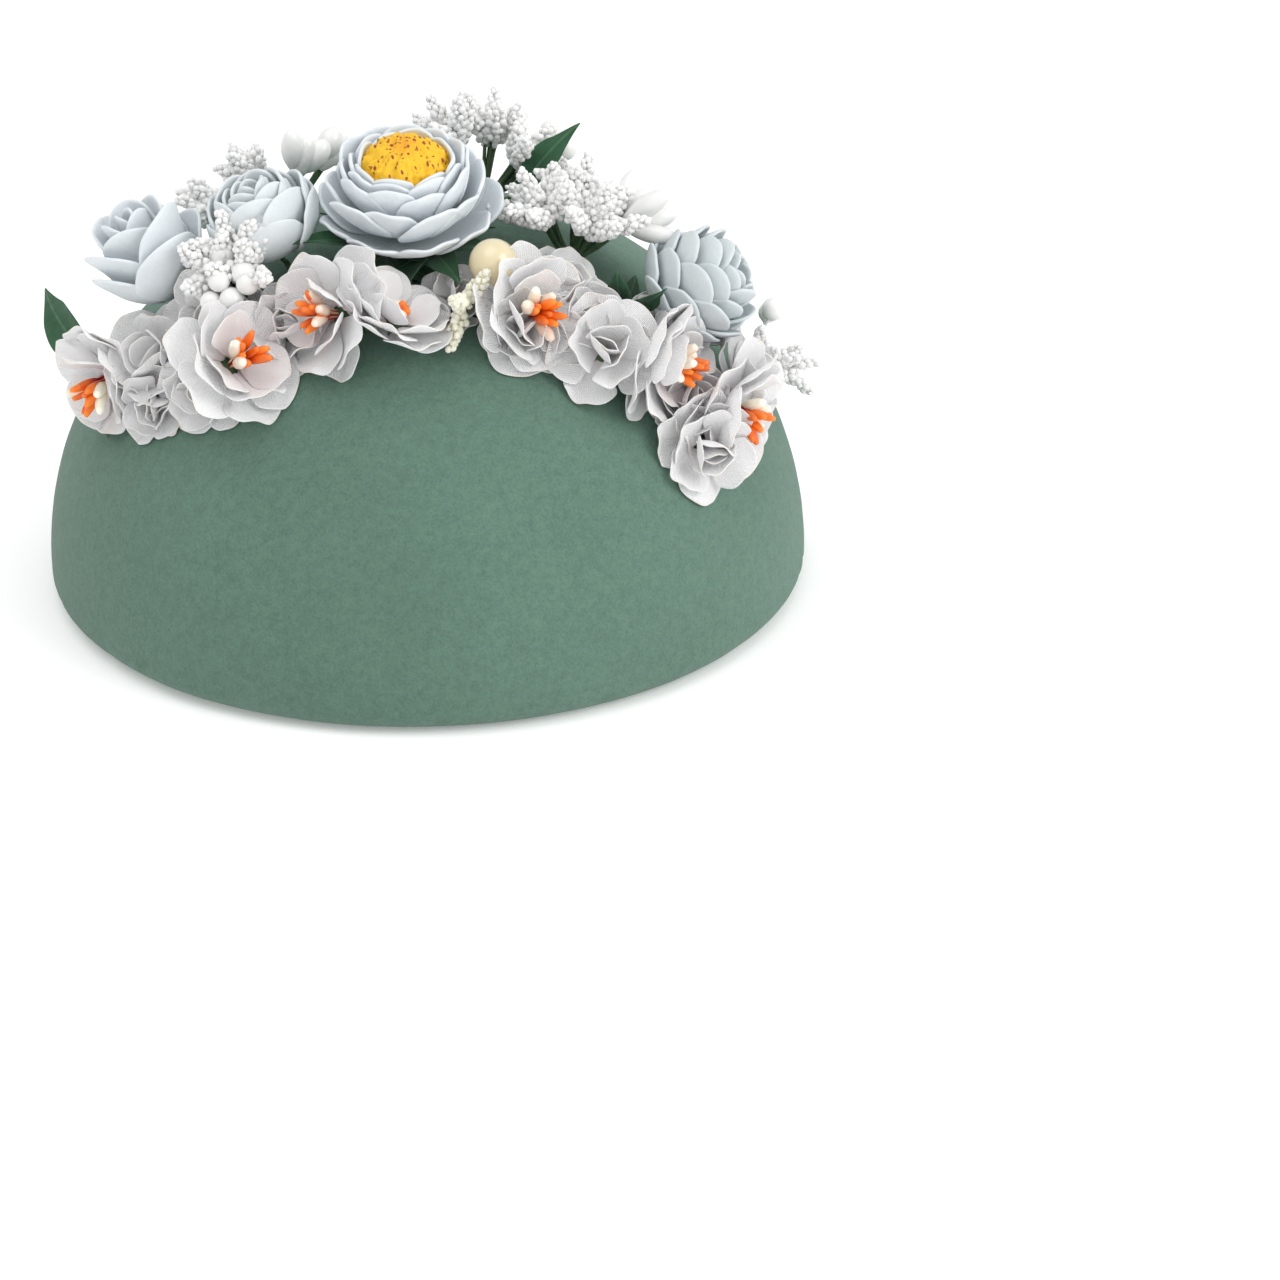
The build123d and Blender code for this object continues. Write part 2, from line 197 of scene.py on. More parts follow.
ROSE_RINGS = [
    (4, 21.0, 23.0, 18, 86, 0.058, 1.4, 0.5, 0.0, 2.4),
    (3, 23.0, 24.0, 38, 90, 0.066, 1.8, 0.5, 1.0, 2.4),
    (3, 23.0, 20.0, 56, 94, 0.090, 1.4, 0.4, 2.0, 2.0),
    (3, 22.5, 15.5, 70, 95, 0.130, 0.8, 0.3, 3.0, 1.6),
    (2, 21.5, 11.0, 80, 96, 0.210, 0.3, 0.2, 3.6, 1.0),
]
DAHLIA_RINGS = [
    (8, 14.5, 14.5, -18, 58, 0.050, 0.0, 0.3, 0.0, 3.0),
    (8, 17.5, 14.5, -2, 76, 0.055, 0.0, 0.3, 1.6, 3.0),
    (8, 19.0, 14.0, 12, 90, 0.060, 0.0, 0.3, 3.0, 3.0),
    (7, 19.5, 13.5, 28, 98, 0.070, 0.0, 0.2, 4.2, 3.0),
    (6, 19.0, 12.0, 46, 102, 0.085, 0.0, 0.2, 5.2, 2.5),
    (5, 18.0, 9.5, 62, 104, 0.110, 0.0, 0.1, 6.0, 2.0),
]
FABRIC_RINGS = [
    (5, 0.96, 1.10, -12, 34, 0.028, 0.0, 1.2, 0.0, 2.0),
    (5, 0.90, 1.02, 8, 50, 0.040, 0.0, 1.2, 0.9, 2.0),
    (3, 0.72, 0.84, 30, 66, 0.060, 0.0, 0.8, 1.7, 2.0),
]
FILLER_RINGS = [
    (5, 0.94, 1.06, -10, 44, 0.034, 0.0, 1.1, 0.0, 2.0),
    (4, 0.86, 0.96, 16, 74, 0.052, 0.0, 1.0, 0.9, 1.6),
    (3, 0.74, 0.84, 44, 98, 0.090, 0.0, 0.6, 1.7, 0.6),
    (2, 0.62, 0.62, 66, 104, 0.140, 0.0, 0.3, 2.4, 0.3),
]


def direction(along, forward):
    a, f = math.radians(along), math.radians(forward)
    return Vector((math.sin(a) * math.cos(f), -math.sin(f), math.cos(a) * math.cos(f)))


def dome_reach(flat_squared, up):
    """Distance from the origin to the dome along a way, from the way's flat and upward parts."""
    upper = FOAM_HEIGHT - WIDEST_HEIGHT
    a = flat_squared / FOAM_RADIUS**2 + (up / upper) ** 2
    b = -2 * up * WIDEST_HEIGHT / upper**2
    c = (WIDEST_HEIGHT / upper) ** 2 - 1
    return (-b + np.sqrt(b * b - 4 * a * c)) / (2 * a)


def dome_distance(way):
    return float(dome_reach(way.x**2 + way.y**2, way.z))


def place(along, forward, height):
    way = direction(along, forward)
    return way * (dome_distance(way) + height)


def frame_of(origin, x_axis, z_axis):
    """Matrix whose columns are x, y and z, with its origin."""
    z_axis = z_axis.normalized()
    x_axis = (x_axis - z_axis * x_axis.dot(z_axis)).normalized()
    y_axis = z_axis.cross(x_axis)
    matrix = Matrix((x_axis, y_axis, z_axis)).transposed().to_4x4()
    matrix.translation = origin
    return matrix


def dome_frame(along, forward, height):
    x_axis = Vector((math.cos(math.radians(along)), 0, -math.sin(math.radians(along))))
    return frame_of(place(along, forward, height), x_axis, direction(along, forward))


def head_frame(name):
    _, along, forward, lift, lean_forward, lean_right, _ = FLOWERS[name]
    leaned = Matrix.Rotation(math.radians(lean_forward), 4, "X")
    leaned = leaned @ Matrix.Rotation(math.radians(lean_right), 4, "Y")
    return dome_frame(along, forward, lift) @ leaned


def turned_frame(name):
    """Frame of a flower's petals: its head's frame, turned about the middle of the flower."""
    forward, right, up = FACING.get(name, (0, 0, 0))
    turned = Matrix.Rotation(math.radians(forward), 4, "X") @ Matrix.Rotation(math.radians(right), 4, "Y")
    middle = Matrix.Translation((0, 0, FLOWER_MIDDLE))
    return head_frame(name) @ Matrix.Translation((0, 0, up)) @ middle @ turned @ middle.inverted()


def hub_of(pick):
    return WAYS[pick] * (dome_distance(WAYS[pick]) + HUB_HEIGHT)


def solids_of(node):
    """Corners of each separate solid of a CAD node, in millimetres, from left to right."""
    mesh = frame["nodes"][node].data
    spots = [tuple(round(c / MM, 3) for c in corner.co) for corner in mesh.vertices]
    owner = {spot: spot for spot in spots}

    def first_of(spot):
        while owner[spot] != spot:
            owner[spot] = owner[owner[spot]]
            spot = owner[spot]
        return spot

    for face in mesh.polygons:
        for k in face.vertices:
            owner[first_of(spots[k])] = first_of(spots[face.vertices[0]])
    solids = {}
    for spot in owner:
        solids.setdefault(first_of(spot), []).append(spot)
    return sorted((np.array(solid) for solid in solids.values()), key=lambda solid: solid[:, 0].mean())


def long_axis(solid):
    """Foot, tip, flattest direction and half width of a long CAD solid."""
    middle = solid.mean(axis=0)
    _, _, axes = np.linalg.svd(solid - middle, full_matrices=False)
    reach = (solid - middle) @ axes.T
    ends = [Vector(middle + axes[0] * share) for share in (reach[:, 0].min(), reach[:, 0].max())]
    foot, tip = sorted(ends, key=lambda end: end.length)
    return foot, tip, Vector(axes[2]), (reach[:, 1].max() - reach[:, 1].min()) / 2


# Meshes: a shape is (points, faces, marks). Marks are (share along, share across, luck of the
# piece, 1) and the materials read them.

def smooth(x):
    x = np.clip(x, 0, 1)
    return x * x * (3 - 2 * x)


def grid_faces(rows, columns, closed=False):
    faces = []
    wrap = columns if closed else columns - 1
    for i in range(rows - 1):
        for j in range(wrap):
            k = (j + 1) % columns
            faces.append((i * columns + j, i * columns + k, (i + 1) * columns + k, (i + 1) * columns + j))
    return faces


def moved(shape, matrix):
    points, faces, marks = shape
    m = np.array(matrix)
    return points @ m[:3, :3].T + m[:3, 3], faces, marks


def off_the_foam(points, clearance=0.8):
    """Petals that would reach into the foam lie on it."""
    reach = np.linalg.norm(points, axis=1)
    way = points / reach[:, None]
    surface = dome_reach(way[:, 0] ** 2 + way[:, 1] ** 2, way[:, 2]) + clearance
    sunk = np.maximum(surface - reach, 0)
    return way * (reach + sunk * (1 + 0.1 * sunk / (1 + sunk)))[:, None]


def build(name, shapes, material, thickness=0.0, levels=0):
    """One mesh object from many shapes, with the marks as a colour attribute."""
    points, faces, marks, start = [], [], [], 0
    for shape_points, shape_faces, shape_marks in shapes:
        points.append(shape_points)
        marks.append(shape_marks)
        faces += [tuple(v + start for v in face) for face in shape_faces]
        start += len(shape_points)
    mesh = bpy.data.meshes.new(name)
    mesh.from_pydata((np.concatenate(points) * MM).tolist(), [], faces)
    mesh.update()
    layer = mesh.attributes.new("mark", "FLOAT_COLOR", "POINT")
    layer.data.foreach_set("color", np.concatenate(marks).astype(np.float32).ravel())
    mesh.polygons.foreach_set("use_smooth", [True] * len(mesh.polygons))
    mesh.materials.append(material)
    piece = bpy.data.objects.new(name, mesh)
    bpy.context.scene.collection.objects.link(piece)
    if thickness:
        solid = piece.modifiers.new("thickness", "SOLIDIFY")
        solid.thickness = thickness * MM
        solid.offset = 0
    if levels:
        soft = piece.modifiers.new("soft", "SUBSURF")
        soft.levels = soft.render_levels = levels
    return piece


def dress(piece, body, slot, *nodes):
    """The piece rides on its pick and stands for its CAD nodes."""
    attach(piece, body)
    if nodes:
        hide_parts(*nodes)


def petal(
    rng, length, width, root_lean, tip_lean, cup, curl, ruffle,
    root=2.0, steps=12, claw=0.4, tip=0.0, blunt=0.12
):
    """Petal along +x from the flower's axis: its rib bends up from one lean to the other."""
    side = np.linspace(-1, 1, steps + 1)
    square_x, square_y = np.meshgrid(side, side, indexing="ij")
    across = square_x * np.sqrt(1 - (1 - blunt * smooth(square_y)) * square_y**2 / 2)
    share = (square_y * np.sqrt(1 - (1 - blunt * smooth(square_y)) * square_x**2 / 2) + 1) / 2
    share = share + tip * np.clip(1 - np.abs(across) * 1.6, 0, 1) ** 1.5 * smooth(share)
    half = width / 2 * (claw + (1 - claw) * smooth(share / 0.55))
    rib = np.linspace(0, 1 + tip, 80)
    lean = np.radians(root_lean + (tip_lean - root_lean) * rib**0.9)
    step = length * (rib[1] - rib[0])
    rib_x = root + np.concatenate([[0], np.cumsum(np.cos((lean[1:] + lean[:-1]) / 2) * step)])
    rib_z = np.concatenate([[0], np.cumsum(np.sin((lean[1:] + lean[:-1]) / 2) * step)])
    x, z = np.interp(share, rib, rib_x), np.interp(share, rib, rib_z)
    here = np.interp(share, rib, lean)
    out = across * half
    waves = 2.2 + rng.random() * 1.2
    phase = rng.random() * TAU
    rise = (1 - np.cos(out * cup)) / cup
    rise = rise + ruffle * share**2 * np.sin(across * waves + phase + share * 2.0)
    rise = rise + ruffle * 0.5 * smooth((share - 0.6) / 0.4) * np.sin(across * waves * 2.3 + phase * 2)
    rise = rise - curl * smooth((share - 0.62) / 0.38) ** 1.5 - curl * 0.5 * np.abs(across) ** 4 * share
    rise = rise + rng.uniform(0.04, 0.11) * out
    y = np.sin(out * cup) / cup
    points = np.stack([x - np.sin(here) * rise, y, z + np.cos(here) * rise], -1).reshape(-1, 3)
    marks = np.ones((len(points), 4))
    marks[:, 0] = share.ravel()
    marks[:, 1] = (across.ravel() + 1) / 2
    marks[:, 2] = rng.random()
    return points, grid_faces(steps + 1, steps + 1), marks


def corolla(rng, rings, steps=12, looseness=1.0):
    """Rings of petals round +z, each ring turned by half a petal."""
    shapes = []
    start = rng.random() * TAU
    for number, ring in enumerate(rings):
        count, length, width, root_lean, tip_lean, cup, curl, ruffle, lift, root = ring
        for k in range(count):
            size = rng.uniform(0.94, 1.04)
            bend = rng.normalvariate(0, 3.0) * looseness
            shape = petal(
                rng, length * size, width * size, root_lean + bend * 0.4,
                tip_lean + bend, cup, curl, ruffle, root, steps
            )
            turn = start + (k + number * 0.5) * TAU / count + rng.normalvariate(0, 0.05) * looseness
            shapes.append(moved(shape, Matrix.Translation((0, 0, lift)) @ Matrix.Rotation(turn, 4, "Z")))
    return shapes


def tube(path, radii, sides=10, luck=0.5):
    """Round tube along a path, with a radius at each point and closed ends."""
    path = [Vector(p) for p in path]
    points, marks = [], []
    way = (path[1] - path[0]).normalized()
    x_axis = way.orthogonal().normalized()
    for i, centre in enumerate(path):
        ahead = path[min(i + 1, len(path) - 1)] - path[max(i - 1, 0)]
        way = ahead.normalized()
        x_axis = (x_axis - way * x_axis.dot(way)).normalized()
        y_axis = way.cross(x_axis)
        for k in range(sides):
            turn = k * TAU / sides
            points.append(centre + (x_axis * math.cos(turn) + y_axis * math.sin(turn)) * radii[i])
            marks.append((i / (len(path) - 1), k / sides, luck, 1))
    faces = grid_faces(len(path), sides, closed=True)
    last = (len(path) - 1) * sides
    faces.append(tuple(range(sides - 1, -1, -1)))
    faces.append(tuple(last + k for k in range(sides)))
    return np.array(points), faces, np.array(marks)


def ball(centre, radius, luck, rows=7, columns=10, stretch=1.0, way=Vector((0, 0, 1)), rough=0.0, rng=None):
    """Round bead, stretched along a way, and uneven if it is rough."""
    turned = way.to_track_quat("Z", "Y").to_matrix()
    points, marks = [], []
    for i in range(rows):
        tilt = math.pi * (i + 0.5) / rows
        for k in range(columns):
            turn = TAU * k / columns
            spot = Vector((math.sin(tilt) * math.cos(turn), math.sin(tilt) * math.sin(turn), 0)) * radius
            spot.z = math.cos(tilt) * radius * stretch
            if rough:
                spot *= 1 + rng.uniform(-rough, rough)
            points.append(Vector(centre) + turned @ spot)
            marks.append((i / (rows - 1), k / columns, luck, 1))
    faces = grid_faces(rows, columns, closed=True)
    faces = [tuple(reversed(face)) for face in faces]
    faces.append(tuple(range(columns)))
    faces.append(tuple((rows - 1) * columns + k for k in reversed(range(columns))))
    return np.array(points), faces, np.array(marks)


# Materials

def new_material(name, color, roughness):
    material = bpy.data.materials.new(name)
    material.use_nodes = True
    shader = material.node_tree.nodes["Principled BSDF"]
    shader.inputs["Base Color"].default_value = (*color, 1)
    shader.inputs["Roughness"].default_value = roughness
    return material, material.node_tree, shader


def noise_texture(tree, scale, detail=4.0, roughness=0.5):
    place_node = tree.nodes.new("ShaderNodeTexCoord")
    texture = tree.nodes.new("ShaderNodeTexNoise")
    texture.inputs["Scale"].default_value = scale
    texture.inputs["Detail"].default_value = detail
    texture.inputs["Roughness"].default_value = roughness
    tree.links.new(place_node.outputs["Object"], texture.inputs["Vector"])
    return texture.outputs["Fac"]


def ramp(tree, source, stops):
    node = tree.nodes.new("ShaderNodeValToRGB")
    elements = node.color_ramp.elements
    while len(elements) < len(stops):
        elements.new(0.5)
    for element, (position, color) in zip(elements, stops):
        element.position = position
        element.color = (*color, 1)
    tree.links.new(source, node.inputs["Fac"])
    return node.outputs["Color"]


def mix(tree, kind, factor, a, b):
    node = tree.nodes.new("ShaderNodeMix")
    node.data_type = "RGBA"
    node.blend_type = kind
    if isinstance(factor, float):
        node.inputs["Factor"].default_value = factor
    else:
        tree.links.new(factor, node.inputs["Factor"])
    for value, socket in ((a, node.inputs[6]), (b, node.inputs[7])):
        if isinstance(value, tuple):
            socket.default_value = (*value, 1)
        else:
            tree.links.new(value, socket)
    return node.outputs[2]


def math_node(tree, operation, a, b=0.0):
    node = tree.nodes.new("ShaderNodeMath")
    node.operation = operation
    for value, socket in ((a, node.inputs[0]), (b, node.inputs[1])):
        if isinstance(value, (int, float)):
            socket.default_value = value
        else:
            tree.links.new(value, socket)
    return node.outputs[0]


def marks_of(tree):
    """The marks of the mesh: share along, share across, luck."""
    attribute = tree.nodes.new("ShaderNodeAttribute")
    attribute.attribute_name = "mark"
    split = tree.nodes.new("ShaderNodeSeparateColor")
    tree.links.new(attribute.outputs["Color"], split.inputs["Color"])
    return split.outputs["Red"], split.outputs["Green"], split.outputs["Blue"]


def bump(tree, shader, height, distance, strength=1.0, under=None):
    node = tree.nodes.new("ShaderNodeBump")
    node.inputs["Strength"].default_value = strength
    node.inputs["Distance"].default_value = distance * MM
    tree.links.new(height, node.inputs["Height"])
    if under is not None:
        tree.links.new(under, node.inputs["Normal"])
    tree.links.new(node.outputs["Normal"], shader.inputs["Normal"])
    return node.outputs["Normal"]


def set_glow(shader, weight, radius_mm, color):
    """Light that spreads inside a thin pale material."""
    shader.inputs["Subsurface Weight"].default_value = weight
    shader.inputs["Subsurface Radius"].default_value = color
    shader.inputs["Subsurface Scale"].default_value = radius_mm * MM


def foam_material():
    material, tree, shader = new_material("floral_foam", (0.1, 0.2, 0.15), 0.92)
    broad = noise_texture(tree, 14.0, 3.0, 0.55)
    speck = noise_texture(tree, 420.0, 5.0, 0.75)
    cells = noise_texture(tree, 1500.0, 3.0, 0.7)
    color = ramp(tree, broad, [(0.3, (0.100, 0.180, 0.137)), (0.72, (0.120, 0.214, 0.164))])
    fine = ramp(tree, speck, [(0.30, (0.78, 0.80, 0.80)), (0.62, (1.08, 1.07, 1.06))])
    color = mix(tree, "MULTIPLY", 0.8, color, fine)
    grain = ramp(tree, cells, [(0.34, (0.72, 0.74, 0.73)), (0.56, (1.05, 1.05, 1.05))])
    color = mix(tree, "MULTIPLY", 0.55, color, grain)
    tree.links.new(color, shader.inputs["Base Color"])
    shader.inputs["Specular IOR Level"].default_value = 0.18
    shader.inputs["Sheen Weight"].default_value = 0.12
    shader.inputs["Sheen Roughness"].default_value = 0.6
    first = bump(tree, shader, speck, 0.28, 0.7)
    bump(tree, shader, cells, 0.16, 0.8, first)
    return material


def rubber_material(name, inside, outside):
    """Thin foam-rubber sheet: matte, slightly blue, with a fine grain, darkened towards each petal's root by
    painted shade, and a little paler towards its tip.
    """
    material, tree, shader = new_material(name, outside, 0.72)
    along, _, luck = marks_of(tree)
    # Painted shade: the inside colour darkens each petal towards its root, and each heart towards its foot,
    # where the petals crowd round the middle
    color = ramp(tree, along, [(0.0, inside), (0.55, outside), (1.0, tuple(c * 1.03 for c in outside))])
    grain = noise_texture(tree, 900.0, 4.0, 0.6)
    mottle = ramp(tree, grain, [(0.3, (0.93, 0.94, 0.945)), (0.7, (1.0, 1.0, 1.0))])
    color = mix(tree, "MULTIPLY", 0.8, color, mottle)
    shade = ramp(tree, luck, [(0.0, (0.965, 0.97, 0.975)), (1.0, (1.0, 1.0, 1.0))])
    color = mix(tree, "MULTIPLY", 1.0, color, shade)
    tree.links.new(color, shader.inputs["Base Color"])
    shader.inputs["Specular IOR Level"].default_value = 0.3
    set_glow(shader, 0.18, 1.6, (1.0, 0.97, 0.94))
    bump(tree, shader, grain, 0.15, 0.7)
    return material


def fabric_material(name, base, edge, throat):
    """Thin starched cloth: fine ribs along the petal, a cream edge and a pinkish throat."""
    material, tree, shader = new_material(name, base, 0.85)
    along, across, luck = marks_of(tree)
    color = ramp(tree, along, [(0.0, throat), (0.24, base), (0.93, base), (1.0, edge)])
    shade = ramp(tree, luck, [(0.0, (0.955, 0.955, 0.96)), (1.0, (1.0, 1.0, 1.0))])
    color = mix(tree, "MULTIPLY", 1.0, color, shade)
    tree.links.new(color, shader.inputs["Base Color"])
    shader.inputs["Specular IOR Level"].default_value = 0.2
    shader.inputs["Sheen Weight"].default_value = 0.15
    set_glow(shader, 0.30, 2.0, (1.0, 0.95, 0.92))
    ribs = math_node(tree, "SINE", math_node(tree, "MULTIPLY", across, 190.0))
    weft = math_node(tree, "SINE", math_node(tree, "MULTIPLY", along, 230.0))
    weave = math_node(tree, "ADD", ribs, math_node(tree, "MULTIPLY", weft, 0.6))
    wrinkle = noise_texture(tree, 160.0, 3.0, 0.5)
    first = bump(tree, shader, wrinkle, 0.7, 0.4)
    bump(tree, shader, weave, 0.06, 0.8, first)
    return material


def sugar_material(name, base):
    """Frosted coat of fine grains."""
    material, tree, shader = new_material(name, base, 0.55)
    grain = noise_texture(tree, 1400.0, 3.0, 0.7)
    _, _, luck = marks_of(tree)
    color = ramp(tree, luck, [(0.0, tuple(c * 0.93 for c in base)), (1.0, base)])
    tree.links.new(color, shader.inputs["Base Color"])
    set_glow(shader, 0.25, 1.5, (1.0, 0.97, 0.92))
    bump(tree, shader, grain, 0.16, 0.8)
    return material


def lacquer_material(name, base, coat=0.6, roughness=0.35):
    """Glossy lacquer with slight unevenness."""
    material, tree, shader = new_material(name, base, roughness)
    uneven = noise_texture(tree, 240.0, 2.0, 0.5)
    color = ramp(tree, uneven, [(0.3, tuple(c * 0.95 for c in base)), (0.7, base)])
    tree.links.new(color, shader.inputs["Base Color"])
    shader.inputs["Coat Weight"].default_value = coat
    shader.inputs["Coat Roughness"].default_value = 0.12
    set_glow(shader, 0.2, 1.5, (1.0, 0.95, 0.88))
    bump(tree, shader, uneven, 0.12, 0.25)
    return material


def stamen_material(name, root, tip):
    material, tree, shader = new_material(name, tip, 0.42)
    along, _, luck = marks_of(tree)
    bright = tuple(min(1, c * 1.3) for c in tip)
    color = ramp(tree, along, [(0.50, root), (0.72, tip), (0.9, tip), (1.0, bright)])
    shade = ramp(tree, luck, [(0.0, (0.85, 0.62, 0.6)), (1.0, (1.1, 1.1, 1.1))])
    color = mix(tree, "MULTIPLY", 1.0, color, shade)
    tree.links.new(color, shader.inputs["Base Color"])
    shader.inputs["Coat Weight"].default_value = 0.25
    shader.inputs["Coat Roughness"].default_value = 0.3
    bump(tree, shader, noise_texture(tree, 900.0, 3.0, 0.6), 0.12, 0.5)
    return material


def yellow_material():
    """Pleated yellow middle with red-brown dashes along its ridges."""
    material, tree, shader = new_material("peony_middle", (0.9, 0.5, 0.02), 0.6)
    texture_place = tree.nodes.new("ShaderNodeTexCoord")
    stretch = tree.nodes.new("ShaderNodeMapping")
    stretch.inputs["Scale"].default_value = (1.0, 1.0, 0.42)
    tree.links.new(texture_place.outputs["Object"], stretch.inputs["Vector"])
    spots = tree.nodes.new("ShaderNodeTexVoronoi")
    spots.inputs["Scale"].default_value = 820.0
    tree.links.new(stretch.outputs["Vector"], spots.inputs["Vector"])
    spot = ramp(tree, spots.outputs["Distance"], [(0.24, (1, 1, 1)), (0.36, (0, 0, 0))])
    some = ramp(tree, noise_texture(tree, 300.0, 2.0, 0.6), [(0.40, (0, 0, 0)), (0.48, (1, 1, 1))])
    mask = math_node(tree, "MULTIPLY", spot, some)
    along, _, _ = marks_of(tree)
    base = ramp(tree, along, [
        (0.0, (0.92, 0.56, 0.020)), (0.75, (0.90, 0.54, 0.016)), (1.0, (0.84, 0.38, 0.01))
    ])
    color = mix(tree, "MIX", mask, base, (0.28, 0.045, 0.012))
    tree.links.new(color, shader.inputs["Base Color"])
    set_glow(shader, 0.15, 1.0, (1.0, 0.5, 0.1))
    bump(tree, shader, noise_texture(tree, 800.0, 4.0, 0.6), 0.3, 0.6)
    return material


def leaf_material():
    material, tree, shader = new_material("green_leaf", (0.03, 0.09, 0.045), 0.8)
    _, across, _ = marks_of(tree)
    vein = math_node(tree, "ABSOLUTE", math_node(tree, "SUBTRACT", across, 0.5))
    color = ramp(tree, vein, [
        (0.0, (0.075, 0.17, 0.09)), (0.05, (0.032, 0.098, 0.050)), (0.5, (0.040, 0.115, 0.058))
    ])
    mottle = noise_texture(tree, 260.0, 4.0, 0.6)
    patch = ramp(tree, mottle, [(0.3, (0.72, 0.76, 0.72)), (0.7, (1.15, 1.12, 1.1))])
    color = mix(tree, "MULTIPLY", 1.0, color, patch)
    tree.links.new(color, shader.inputs["Base Color"])
    shader.inputs["Specular IOR Level"].default_value = 0.25
    shader.inputs["Sheen Weight"].default_value = 0.1
    weave = noise_texture(tree, 1600.0, 3.0, 0.6)
    first = bump(tree, shader, vein, 0.8, 0.4)
    bump(tree, shader, weave, 0.10, 0.8, first)
    return material


def wire_material():
    """Green stem tape wound round the wire."""
    material, tree, shader = new_material("green_wire", (0.05, 0.12, 0.05), 0.7)
    mottle = noise_texture(tree, 500.0, 4.0, 0.6)
    color = ramp(tree, mottle, [(0.3, (0.045, 0.10, 0.045)), (0.7, (0.10, 0.19, 0.08))])
    tree.links.new(color, shader.inputs["Base Color"])
    wound = tree.nodes.new("ShaderNodeTexWave")
    wound.inputs["Scale"].default_value = 260.0
    wound.inputs["Distortion"].default_value = 3.0
    bump(tree, shader, wound.outputs["Fac"], 0.12, 0.6)
    return material


FOAM = foam_material()
# Each rubber's first colour is painted shade at the petal roots and its second is the rubber's own colour;
# the ranunculus rubber's painted shade is greenish
PEONY_RUBBER = rubber_material("pale_rubber", (0.56, 0.62, 0.63), (0.755, 0.795, 0.82))
GREEN_SHADED_RUBBER = rubber_material("rubber_with_green_painted_shade", (0.47, 0.54, 0.50), (0.75, 0.79, 0.805))
GREY_RUBBER = rubber_material("grey_rubber", (0.48, 0.54, 0.53), (0.64, 0.69, 0.705))
CLOTH = fabric_material("white_cloth", (0.955, 0.95, 0.955), (0.92, 0.86, 0.78), (0.90, 0.80, 0.79))
SUGAR = sugar_material("white_sugar", (0.95, 0.95, 0.94))
CREAM_SUGAR = sugar_material("cream_sugar", (0.93, 0.90, 0.74))
BUD = lacquer_material("white_lacquer", (0.88, 0.88, 0.86))
PEARL = lacquer_material("ivory_pearl", (0.78, 0.68, 0.44), 1.0, 0.25)
ORANGE = stamen_material("orange_stamens", (0.46, 0.010, 0.006), (0.88, 0.20, 0.010))
CREAM = stamen_material("cream_stamens", (0.80, 0.72, 0.50), (0.84, 0.80, 0.66))
YELLOW = yellow_material()
LEAF = leaf_material()
WIRE = wire_material()


# Pieces

def make_foam():
    """Dome with soft unevenness, dents near its lower edge, and a bore for each wire."""
    base_steps, roll_steps, rows, columns = 13, 12, 110, 360
    profile = []
    for k in range(base_steps + 1):
        profile.append(((FOAM_RADIUS - EDGE_ROLL) * k / base_steps, 0.0))
    for k in range(1, roll_steps + 1):
        turn = k / roll_steps * math.pi / 2
        profile.append((
            FOAM_RADIUS - EDGE_ROLL + EDGE_ROLL * math.sin(turn), WIDEST_HEIGHT * (1 - math.cos(turn))
        ))
    for k in range(1, rows):
        turn = k / rows * math.pi / 2
        profile.append((
            FOAM_RADIUS * math.cos(turn), WIDEST_HEIGHT + (FOAM_HEIGHT - WIDEST_HEIGHT) * math.sin(turn)
        ))
    rng = random.Random(5)
    dents = [
        (rng.random() * TAU, rng.uniform(1.0, 9.0), rng.uniform(0.8, 2.2), rng.uniform(0.15, 0.7))
        for _ in range(DENTS)
    ]
    points = []
    for r, z in profile[1:]:
        for j in range(columns):
            turn = TAU * j / columns
            x, y = r * math.cos(turn), r * math.sin(turn)
            out = Vector((x, y, max(z - WIDEST_HEIGHT, 0))).normalized() if z > 0.5 else Vector((0, 0, 0))
            spot = Vector((x, y, z))
            push = noise.noise(spot * 0.030) * 0.35 + noise.noise(spot * 0.16) * 0.10
            points.append(spot + out * push)
    points = np.array(points)
    for turn, height, size, depth in dents:
        centre = np.array([FOAM_RADIUS * math.cos(turn), FOAM_RADIUS * math.sin(turn), height])
        near = np.linalg.norm(points - centre, axis=1)
        hollow = depth * np.exp(-((near / size) ** 2))
        points -= hollow[:, None] * np.array([math.cos(turn), math.sin(turn), 0])
    faces = grid_faces(len(profile) - 1, columns, closed=True)
    top = len(points)
    points = np.vstack([points, [[0, 0, 0], [0, 0, FOAM_HEIGHT]]])
    last = (len(profile) - 2) * columns
    for j in range(columns):
        k = (j + 1) % columns
        faces.append((top, k, j))
        faces.append((top + 1, last + j, last + k))
    marks = np.ones((len(points), 4))
    foam = build("floral_foam_dome", [(points, faces, marks)], FOAM)
    cutters = []
    for way in WAYS.values():
        surface = dome_distance(way)
        ends = [way * (surface - INSERTION - BORE_SPARE), way * (surface + POINT_LENGTH)]
        cutters.append(tube(ends, [BORE_RADIUS, BORE_RADIUS], 24))
    cutter = build("bore_cutter", cutters, FOAM)
    cut = foam.modifiers.new("bores", "BOOLEAN")
    cut.operation = "DIFFERENCE"
    cut.solver = "EXACT"
    cut.object = cutter
    bpy.context.view_layer.update()
    drilled = bpy.data.meshes.new_from_object(foam.evaluated_get(bpy.context.evaluated_depsgraph_get()))
    foam.modifiers.clear()
    foam.data = drilled
    bpy.data.objects.remove(cutter)
    dress(foam, "foam", "floral_foam", "foam_half_sphere")


